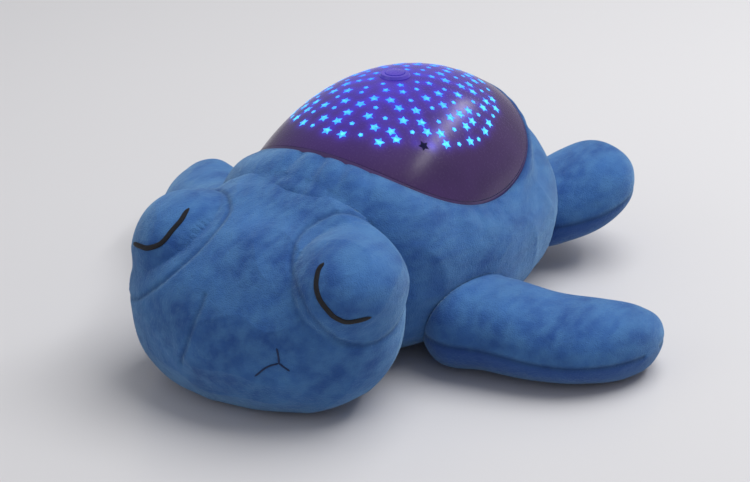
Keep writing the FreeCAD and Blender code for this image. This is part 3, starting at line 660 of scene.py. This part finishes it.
# marks on the head, each a path of tilt from the nose and spin round it, in degrees
NEAR_LID = ((64.7, 41.6), (60.8, 40.5), (56.1, 36.0), (53.8, 30.4), (53.8, 24.8), (55.3, 19.1),
            (58.4, 14.6), (62.3, 13.3), (67.8, 13.0))
FAR_LID = ((73.5, 158.5), (67.8, 154.1), (64.7, 150.8), (63.9, 145.1), (67.0, 139.5),
           (74.0, 133.9), (82.6, 131.5))
PATCH_SEAM = ((104.0, 56.0), (94.3, 61.9), (83.4, 63.0), (70.1, 59.6), (58.4, 51.8),
              (51.4, 41.6), (48.3, 28.1), (49.9, 16.9), (54.5, 6.8), (60.8, 1.1), (68.6, -1.0),
              (80.0, 0.0), (92.0, 4.0), (103.0, 14.0), (109.0, 30.0), (109.0, 46.0),
              (104.0, 56.0))
BROW_CREASE = ((27.0, 127.0), (21.0, 140.6), (17.9, 169.9), (21.0, 199.1), (29.6, 217.1))
MOUTH_UP = ((30.4, 1.1), (31.2, 353.2), (31.9, 346.5))
MOUTH_RIGHT = ((31.9, 346.5), (34.3, 344.2), (37.4, 342.0))
MOUTH_LEFT = ((31.9, 346.5), (28.1, 340.9), (25.7, 333.0), (24.2, 320.6))
# creases: path, width and depth
CREASES = [(PATCH_SEAM, 1.2, 0.9), (mirrored(PATCH_SEAM), 1.2, 0.9), (BROW_CREASE, 1.4, 0.8)]

# body: gathers along the collar, deepest in front, and a soft crumple farther out, both
# fading where the belly rests

turn, outer, plan, collar = body_grid()
from_rim = np.linalg.norm(outer - outer[0], axis=-1)
from_front = np.angle(np.exp(1j * (turn + np.pi / 2)))
front = np.exp(-(from_front / 0.9) ** 2)
gathers = np.abs(np.sin(turn * 12 + 2.2 * np.sin(turn * 5 + 1))) - 0.6
gather_fade = np.exp(-(from_rim / (12 + 14 * front)) ** 2) * (1 - np.exp(-(from_rim / 2.0) ** 2))
lift = gathers * gather_fade * (0.45 + 1.7 * front)
crumple = 0.5 - np.abs(waves(outer, 38, 4)) ** 0.6
lift = lift + (0.9 * waves(outer, 55, 3) + crumple) * (1 - np.exp(-(from_rim / 12) ** 2))
resting = np.clip(outer[..., 2] / 14, 0, 1)
normals = grid_normals(outer)
outer = floor_rest(outer + normals * (lift * resting)[..., None])
inside = body_inside(plan, collar, outer[-1])
whole = np.concatenate([outer, inside])
# painted shadow: the plush darkened in a narrow band just below the dome's rim
painted_groove_shade = np.zeros(whole.shape[:2])
painted_groove_shade[:len(outer)] = 0.5 * np.exp(-(from_rim / 1.6) ** 2)
body = ring_piece("plush_body_skin", whole, {"painted_groove_shade": painted_groove_shade, "under": np.zeros(painted_groove_shade.shape)})
soft_piece(body, 0.8, "plush_body")
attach(body, "shell_body")

# head with its two eye mounds: sewn creases and soft dents, pressed against the body

local = head_grid()
creases = np.zeros(local.shape[:2])
for path, width, depth in CREASES:
    nearest = distance_to(local, on_grid(local, path, 24))
    creases = np.maximum(creases, depth * np.exp(-(nearest / width) ** 2))
crumple = 1 - 2 * np.abs(waves(local, 34, 9)) ** 0.6
dents = 0.8 * waves(local, 45, 8) + 0.5 * crumple - creases
local = local + grid_normals(local) * dents[..., None]
forward = np.array([math.sin(math.radians(HEAD_YAW)), -math.cos(math.radians(HEAD_YAW)), 0.0])
skin = floor_rest(turned(local, HEAD_YAW, HEAD_ORIGIN))
skin = pressed_on_body(skin, forward)
# the crease depths also paint shade into the plush's colour
head = poled_piece("plush_head_skin", skin,
                   {"painted_groove_shade": 0.6 * np.clip(creases, 0, 1), "under": np.zeros(creases.shape)})
soft_piece(head, 0.85, "plush_head", "left_eye_mound", "right_eye_mound")
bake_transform(head)


def stitched(name, path, half_wide, half_tall, material, count=48):
    """A raised satin-stitched line on the head: ovals along the path, half sunk in the pile."""
    line = on_grid(skin, path, count)
    upward = on_grid(grid_normals(skin), path, count)
    upward /= np.linalg.norm(upward, axis=1, keepdims=True)
    grid = tube_grid(line + upward * (0.25 * half_tall), upward, half_wide, half_tall)
    piece = poled_piece(name, grid)
    piece.data.materials.append(material)
    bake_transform(piece)


stitched("left_eyelid", NEAR_LID, 1.3, 0.75, thread)
stitched("right_eyelid", FAR_LID, 1.3, 0.75, thread)
for name, path in (("up", MOUTH_UP), ("right", MOUTH_RIGHT), ("left", MOUTH_LEFT)):
    stitched("mouth_stitch_" + name, path, 0.45, 0.4, navy_thread, 16)

# flippers: a top and an under panel that meet in a sewn edge, each root pressed on the body

for side, word in ((1, "left"), (-1, "right")):
    for place, table, origin, yaws, root, count in (
            ("front", FRONT_FLIPPER, FRONT_ORIGIN, FRONT_YAW, FRONT_ROOT, (120, 140)),
            ("rear", REAR_FLIPPER, REAR_ORIGIN, REAR_YAW, REAR_ROOT, (90, 120))):
        yaw = yaws[side]
        if (place, word) == ("front", "right"):  # the fuller of the two
            table = table + np.outer(table[:, 3] > 0, [0, 0, 0, 0, 7, 0])
        local = flipper_grid(table, side, *count)
        middle = sizes_along(table, local[..., 1])[1]
        below = middle - 1 - local[..., 2]
        # painted shade: edge darkens the plush along the sewn edge and under darkens the lower
        # panel
        edge = np.exp(-(below / 1.2) ** 2) * (np.abs(local[..., 0]) > 6)
        under = np.clip(below / 1.5, 0, 1)
        away_from_body = turned(np.array([0.0, -1.0, 0.0]), yaw, np.zeros(3))
        dents = 0.7 * waves(local, 40, 11 + side) - 0.6 * edge
        local = local + grid_normals(local) * dents[..., None]
        grid = turned(local, yaw, origin * [side, 1, 1])
        if place == "front":
            grid = floor_rest(grid)
        grid = pressed_on_body(grid, away_from_body)
        name = "%s_%s" % (place, word)
        piece = poled_piece("plush_%s_flipper" % name, grid, {"painted_groove_shade": edge, "under": under})
        soft_piece(piece, 0.7, "%s_%s_flipper" % (place, word))
        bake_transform(piece)

# dome

WINDOW_RINGS = (13.0, 20.0, 28.0, 36.0, 44.0, 52.0, 59.5)
WINDOW_SPACING = 9.7
WINDOW_SHIFT = 1.4
UNLIT = (44.0, -41.0)


def window_places():
    """Arc distances across and along the crown, radius, spin and kind of each window: rings
    whose count is set by the spacing, each place moved a little by seeded chance. Every third
    window is a small blunt one, of kind 0."""
    chance = np.random.default_rng(21)
    places = []
    for row, distance in enumerate(WINDOW_RINGS):
        count = int(2 * math.pi * distance / WINDOW_SPACING)
        for number in range(count):
            angle = 2 * math.pi * (number + 0.5 * (row % 2)) / count
            step = chance.uniform(-WINDOW_SHIFT, WINDOW_SHIFT, 2)
            large = (number + row) % 3 != 0
            reach = 3.0 if large and row > 1 else 2.2 if large else 1.5
            places.append((distance * math.cos(angle) + step[0],
                           distance * math.sin(angle) + step[1], reach,
                           chance.uniform(0, 6.28), large))
    return np.array(places, dtype=float)


def dome_frames(across, along):
    """The barrel's points at two arc distances from the crown, the direction away from the
    ring's middle line there, and the two directions at right angles to it."""
    angle = along / CROWN_ALONG
    at = on_barrel(across / CROWN_ACROSS, angle)
    ring = np.stack([0 * angle, RING_RADIUS * np.sin(angle),
                     RING_CENTRE + RING_RADIUS * np.cos(angle)], axis=-1)
    normal = (at - ring) / np.linalg.norm(at - ring, axis=-1, keepdims=True)
    side = np.cross([0.0, 1.0, 0.0], normal)
    side /= np.linalg.norm(side, axis=-1, keepdims=True)
    return at, normal, side, np.cross(normal, side)


def dome_grid(columns=360, rows=110, inner_rows=11):
    """The dome's outer face from the crown hole to the rim, then its inner face back: both
    angles of the barrel go evenly from the hole's to the rim's."""
    turn = np.linspace(0, 2 * np.pi, columns, endpoint=False)
    hole = (CROWN_HOLE / CROWN_ACROSS * np.cos(turn), CROWN_HOLE / CROWN_ALONG * np.sin(turn))
    rim = rim_angles(turn)
    down = np.linspace(0, 1, rows)[:, None]
    faces = []
    for grow, share in ((0.0, down), (-DOME_WALL, down[::-1][::rows // inner_rows])):
        across, along = (start + (end - start) * share for start, end in zip(hole, rim))
        faces.append(on_barrel(across, along, grow))
    return np.concatenate(faces)


def window_mesh(name, chosen, material):
    """Star plugs let into the dome: ten corners at equal angles on long and short arms, which
    drop with the skin by the square of the arm over twice the crown's radius, a raised middle,
    and a wall down to a second outline and middle inside the shell."""
    across, along, reach, spin, large = chosen.T
    at, normal, side, up = (part[:, None] for part in dome_frames(across, along))
    corner = np.arange(10)
    waist = np.where(large > 0, 0.5, 0.72)
    arm = reach[:, None] * np.where(corner % 2 == 0, 1, waist[:, None])
    angle = spin[:, None] + np.pi * corner / 5
    flat = (arm * np.cos(angle))[..., None] * side + (arm * np.sin(angle))[..., None] * up
    drop = (arm ** 2 / (2 * CROWN_ACROSS))[..., None]
    points = np.concatenate([at + flat + (0.09 - drop) * normal, at + flat * 0.98 - normal * 0.8,
                             at + normal * 0.14, at - normal * 0.8], axis=1)
    beside = (corner + 1) % 10
    top = np.column_stack([np.full(10, 20), corner, beside])
    wall = np.column_stack([corner, corner + 10, beside + 10, beside])
    bottom = np.column_stack([np.full(10, 21), beside + 10, corner + 10])
    first = 22 * np.arange(len(chosen))[:, None, None]
    faces = []
    for shape in (top, wall, bottom):
        faces += (first + shape).reshape(-1, shape.shape[1]).tolist()
    bright = np.concatenate([np.where(corner % 2 == 0, 0.4, 0.75), np.zeros(10), [1, 0]])
    height = np.clip((at[:, 0, 2] - 98) / 30, 0, 1)
    piece = mesh_piece(name, points.reshape(-1, 3), faces,
                       {"core": np.tile(bright, len(chosen)), "crown": np.repeat(height, 22)})
    piece.data.polygons.foreach_set("use_smooth", np.zeros(len(piece.data.polygons), bool))
    piece.data.materials.append(material)
    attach(piece, "shell_body")


# the shell glows round each window, and as a whole towards the crown
places = window_places()
dome = dome_grid()
lit = 0.36 * np.clip((dome[..., 2] - 96) / 28, 0, 1) ** 1.5
for at, reach in zip(dome_frames(places[:, 0], places[:, 1])[0], places[:, 2]):
    lit = lit + 0.19 * reach * np.exp(-((dome - at) ** 2).sum(axis=-1) / (2 * 2.6 ** 2))
dome_piece = ring_piece("dome_skin", dome, {"lit": np.clip(lit, 0, 1)})
dome_piece.data.materials.append(shell)
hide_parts("dome_shell")
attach(dome_piece, "shell_body")

from_unlit = np.hypot(places[:, 0] - UNLIT[0], places[:, 1] - UNLIT[1])
window_mesh("star_windows", places[from_unlit > 6], windows_lit)
window_mesh("unlit_window", np.array([(*UNLIT, 3.2, 0.4, 1)]), dark_window)

# floor, lights and world

floor_mesh = bpy.data.meshes.new("floor")
far = 6
floor_mesh.from_pydata([(-far, -far, 0), (far, -far, 0), (far, far, 0), (-far, far, 0)], [],
                       [(0, 1, 2, 3)])
floor = bpy.data.objects.new("floor", floor_mesh)
bpy.context.scene.collection.objects.link(floor)
floor_finish = Finish("pale_table", (0.66, 0.655, 0.67), 0.28)
floor_finish.set(Specular_IOR_Level=0.35)
floor_mesh.materials.append(floor_finish.material)


def soft_light(name, at, length, across, power, heading, mirrored_in_shell=True):
    """A softbox turned to the object, its long side along the heading. The wide one is left
    out of reflections, so that the dome shows a single narrow streak."""
    data = bpy.data.lights.new(name, "AREA")
    data.shape = "RECTANGLE"
    data.size = length
    data.size_y = across
    data.energy = power
    lamp = bpy.data.objects.new(name, data)
    back = (Vector(at) - AIM).normalized()
    side = Vector(heading)
    side = (side - side.dot(back) * back).normalized()
    lamp.matrix_world = Matrix((side, back.cross(side), back)).transposed().to_4x4()
    lamp.location = at
    lamp.visible_glossy = mirrored_in_shell
    bpy.context.scene.collection.objects.link(lamp)


soft_light("window_light", (0.50, 0.80, 0.95), 1.3, 0.13, 4, (0.93, -0.95, 0.58))
soft_light("top_light", (0.3, 0.6, 1.6), 1.4, 1.4, 25, (1, 0, 0), False)
soft_light("front_light", (-0.9, -1.4, 0.9), 1.0, 1.0, 2, (1, 0, 0))

world = bpy.data.worlds.new("studio")
bpy.context.scene.world = world
world.use_nodes = True
world.node_tree.nodes["Background"].inputs["Color"].default_value = (0.8, 0.8, 0.82, 1)
world.node_tree.nodes["Background"].inputs["Strength"].default_value = 0.45
